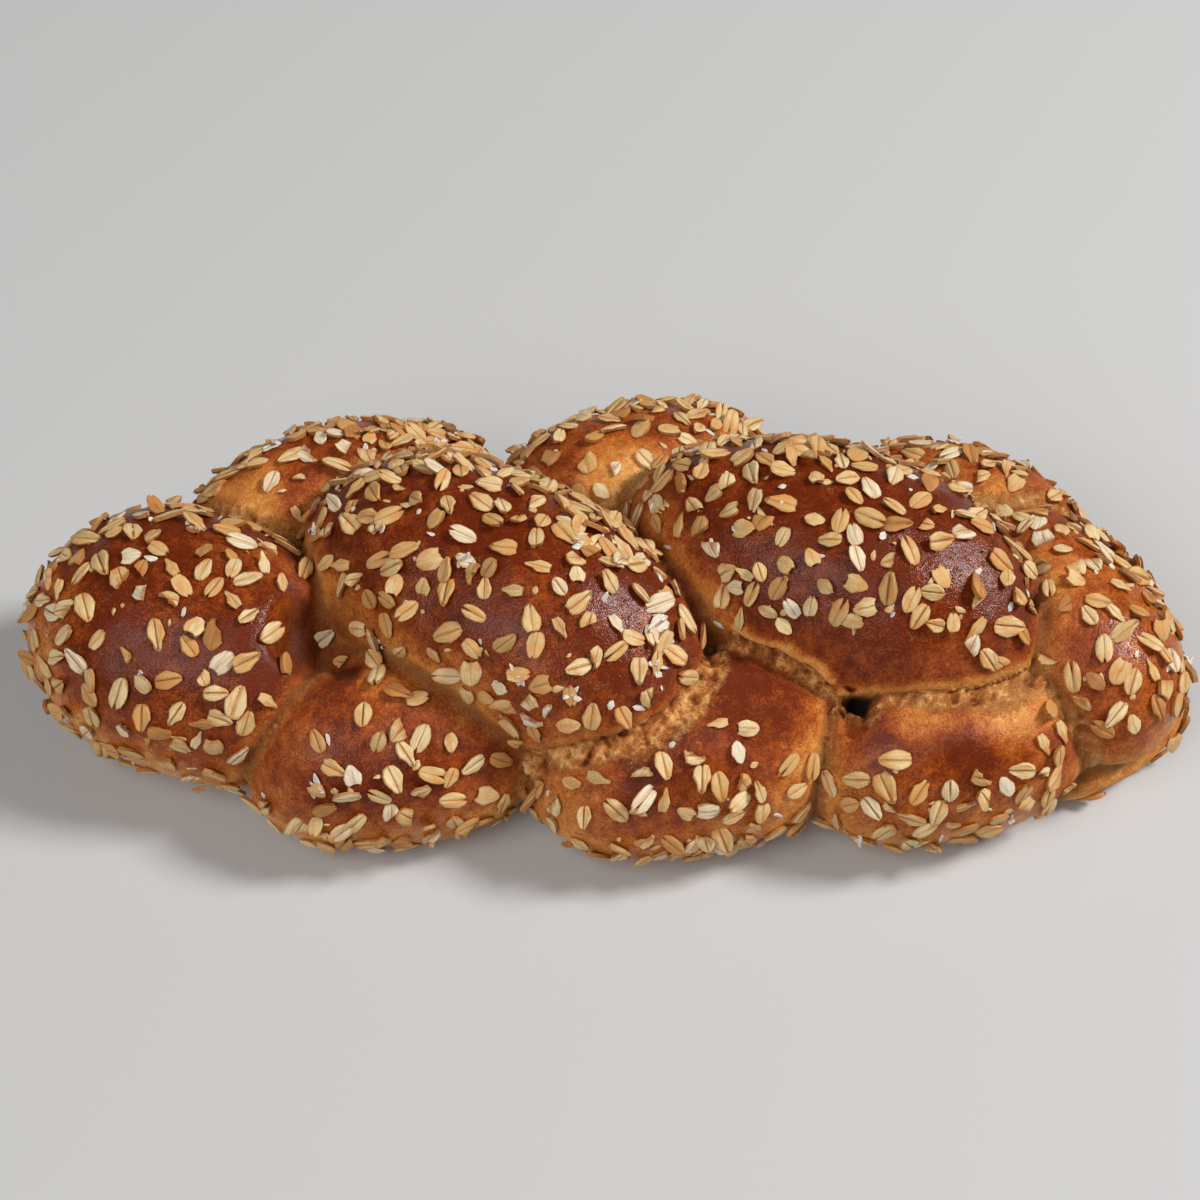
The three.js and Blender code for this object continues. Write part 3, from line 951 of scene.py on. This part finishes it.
broken = set(rng.choice(kept, int(BROKEN * len(kept)), replace=False).tolist())
whole_rows = [row(n, len(whole), rng.uniform(0.77, 1.07)) for n in kept if n not in broken]
half_rows = [row(n, len(halves), rng.uniform(0.75, 1.15)) for n in sorted(broken)]
oats = laid("oat_flakes", whole, whole_rows)
split_oats = laid("broken_oat_flakes", halves, half_rows)
crumb_rows = []
for n in range(len(at)):
    if rng.random() < CRUMB_SHARE * chance[n]:
        crumb_rows.append((at[n], up[n], rng.integers(len(bits)), spin(), *np.radians(rng.normal(0, 20, 2)),
                           0.2, rng.uniform(0.6, 1.3), rng.choice([FLOUR_TINT, 0.05, 0.3, 0.5])))
for n in rng.choice(kept, FLOUR_GROUPS, replace=False):
    across_skin = np.cross(up[n], (0, 0, 1))
    across_skin /= np.linalg.norm(across_skin)
    down_skin = np.cross(up[n], across_skin)
    for _ in range(IN_GROUP):
        aside = rng.normal(0, GROUP_SPREAD, 2)
        spot = at[n] + aside[0] * across_skin + aside[1] * down_skin
        crumb_rows.append((spot, up[n], rng.integers(len(bits)), spin(), *np.radians(rng.normal(0, 25, 2)),
                           rng.uniform(0.2, 1.2), rng.uniform(0.7, 1.4), FLOUR_TINT))
oat_crumbs = laid("oat_crumbs", bits, crumb_rows)

# %% [markdown]
# ## The look of an oat
# A flake is cream to golden, a few are toasted brown and a few are white with flour. A thin dark crease
# runs along the middle of many, the bran at the rim is darker, and fine streaks run lengthwise. The tint
# also moves every pattern, so that flakes of different tints are marked differently.

# %% Build the oat material
OAT_TONES = [  # from floury through cream and golden to toasted
    (0.0, rgb(222, 217, 206)), (0.2, rgb(224, 202, 152)), (0.5, rgb(210, 176, 117)),
    (0.8, rgb(190, 138, 74)), (1.0, rgb(158, 98, 42)),
]
STREAK, TOAST, BRAN, CREASE = rgb(182, 128, 68), rgb(202, 134, 62), rgb(168, 104, 44), rgb(124, 80, 34)
TINT_SHIFT = 91.0  # how far the tint moves the patterns
OAT_RELIEF = 0.3  # mm of height in the bump

oat, tree, skin = new_material("rolled_oats")
own_place = put(tree, "ShaderNodeUVMap", uv_map="flake")
split = tree.nodes.new("ShaderNodeSeparateXYZ")
tree.links.new(own_place, split.inputs[0])
lengthwise, crosswise = split.outputs[0], split.outputs[1]
tint = attribute_value(tree, "tint")
apart = times(tree, tint, TINT_SHIFT)
where = put(tree, "ShaderNodeTexCoord", out=3)
in_mm = put(tree, "ShaderNodeVectorMath", operation="SCALE", i0=where, Scale=1 / MM)
close = place_group(tree, grain, Place=in_mm, Size=0.5, Pores=0.3)


def pattern(detail, x, y=0.0):
    """Noise over the flake, stretched where x or y grows slowly, and different for every tint."""
    place_in = put(tree, "ShaderNodeCombineXYZ", X=x, Y=y, Z=apart)
    return put(tree, "ShaderNodeTexNoise", Vector=place_in, Scale=1.0, Detail=detail)


streaks = pattern(2.0, times(tree, lengthwise, 1.6), times(tree, crosswise, 11.0))
wobble = pattern(1.0, times(tree, lengthwise, 2.4))
middle_line = plus(tree, math_node(tree, "SUBTRACT", crosswise, 0.5),
                   times(tree, math_node(tree, "SUBTRACT", wobble, 0.5), 0.22))
crease_line = mapped(tree, math_node(tree, "ABSOLUTE", middle_line), 0.012, 0.085, 1.0, 0.0)
from_middle = math_node(tree, "ABSOLUTE", math_node(tree, "SUBTRACT", lengthwise, 0.5))
own_look = put(tree, "ShaderNodeTexWhiteNoise", out=0, noise_dimensions="1D", W=apart)
for mask in (mapped(tree, from_middle, 0.3, 0.46, 0.75, 0.1), mapped(tree, own_look, 0.35, 0.95),
             mapped(tree, streaks, 0.3, 0.6, 0.35, 1.0)):
    crease_line = times(tree, crease_line, mask)
ragged_rim = plus(tree, attribute_value(tree, "rim"), math_node(tree, "SUBTRACT", streaks, 0.5))
toast_place = put(tree, "ShaderNodeCombineXYZ", X=lengthwise, Y=crosswise, Z=apart)
toast = put(tree, "ShaderNodeTexNoise", Vector=toast_place, Scale=1.7, Detail=3.0)
toasted = times(tree, mapped(tree, toast, 0.45, 0.66, 0.0, 0.75), mapped(tree, tint, 0.1, 0.3))
shaded = blend(tree, mapped(tree, streaks, 0.4, 0.7, 0.0, 0.5), ramp(tree, tint, OAT_TONES), STREAK)
shaded = blend(tree, toasted, shaded, TOAST)
shaded = blend(tree, mapped(tree, ragged_rim, 0.3, 1.0, 0.0, 0.8), shaded, BRAN)
shaded = blend(tree, crease_line, shaded, CREASE)
tree.links.new(shaded, skin.inputs["Base Color"])
skin.inputs["Roughness"].default_value = 0.62
relief = math_node(tree, "SUBTRACT", plus(tree, streaks, close["Height"]), times(tree, crease_line, 1.5))
bumped = put(tree, "ShaderNodeBump", Strength=0.6, Distance=OAT_RELIEF * MM, Height=relief)
tree.links.new(bumped, skin.inputs["Normal"])
for piece in (oats, split_oats, oat_crumbs):
    piece.data.materials.append(oat)
print("oat material with", len(tree.nodes), "nodes")

# %% [markdown]
# ## Ride on the model
# The loaf has one body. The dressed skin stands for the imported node, and the oats ride on the same body.

# %% Tie the pieces to the frame
for piece in (loaf, oats, split_oats, oat_crumbs):
    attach(piece, "root")
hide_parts("braided_loaf")
print("pieces:", [piece.name for piece in (loaf, oats, split_oats, oat_crumbs)])

# %% [markdown]
# ## Table, light and camera
# The loaf lies on a pale floor. A soft lamp stands high beyond its right end, as window light would come,
# a larger and dimmer one fills the front from the left, and the world lifts the shadows. The camera
# looks down at fifty degrees with a medium-long lens. The floor and the lamps are sized in metres.

# %% Stage and camera
FLOOR_SIZE, FLOOR_COLOUR = 6, (0.5, 0.495, 0.49, 1)
WORLD_LIGHT = 0.12
AIM = Vector((-2, 4, 30)) * MM
DISTANCE, ELEVATION = 0.700, math.radians(50)
LENS = 70
bpy.ops.object.select_all(action="DESELECT")
bpy.ops.mesh.primitive_plane_add(size=FLOOR_SIZE)
floor = bpy.context.object
floor.name = "floor"
matt, _, skin = new_material("pale_floor")
skin.inputs["Base Color"].default_value = FLOOR_COLOUR
skin.inputs["Roughness"].default_value = 0.8
floor.data.materials.append(matt)


def lamp(name, place, size, watts, gloss=1.0):
    bpy.ops.object.light_add(type="AREA", location=place)
    made = bpy.context.object
    made.name = name
    made.data.shape = "DISK"
    made.data.size, made.data.energy, made.data.specular_factor = size, watts, gloss
    made.rotation_euler = Vector(place).to_track_quat("Z", "Y").to_euler()
    return made


lamp("window_light", (1.8, 0.12, 1.85), 0.7, 66)
lamp("front_fill", (-1.1, -1.5, 2.0), 2.4, 46, gloss=0.15)
world = bpy.data.worlds.new("studio")
world.use_nodes = True
world.node_tree.nodes["Background"].inputs["Color"].default_value = (1, 1, 1, 1)
world.node_tree.nodes["Background"].inputs["Strength"].default_value = WORLD_LIGHT
scene.world = world
scene.view_settings.view_transform = "Standard"

from_loaf = Vector((0, -math.cos(ELEVATION), math.sin(ELEVATION)))
bpy.ops.object.camera_add(location=AIM + DISTANCE * from_loaf)
camera = bpy.context.object
camera.name = "photo_view"
camera.rotation_euler = (AIM - camera.location).to_track_quat("-Z", "Y").to_euler()
camera.data.lens = LENS
camera.data.clip_start = 0.01
scene.camera = camera
print("camera at", [round(v, 3) for v in camera.location])
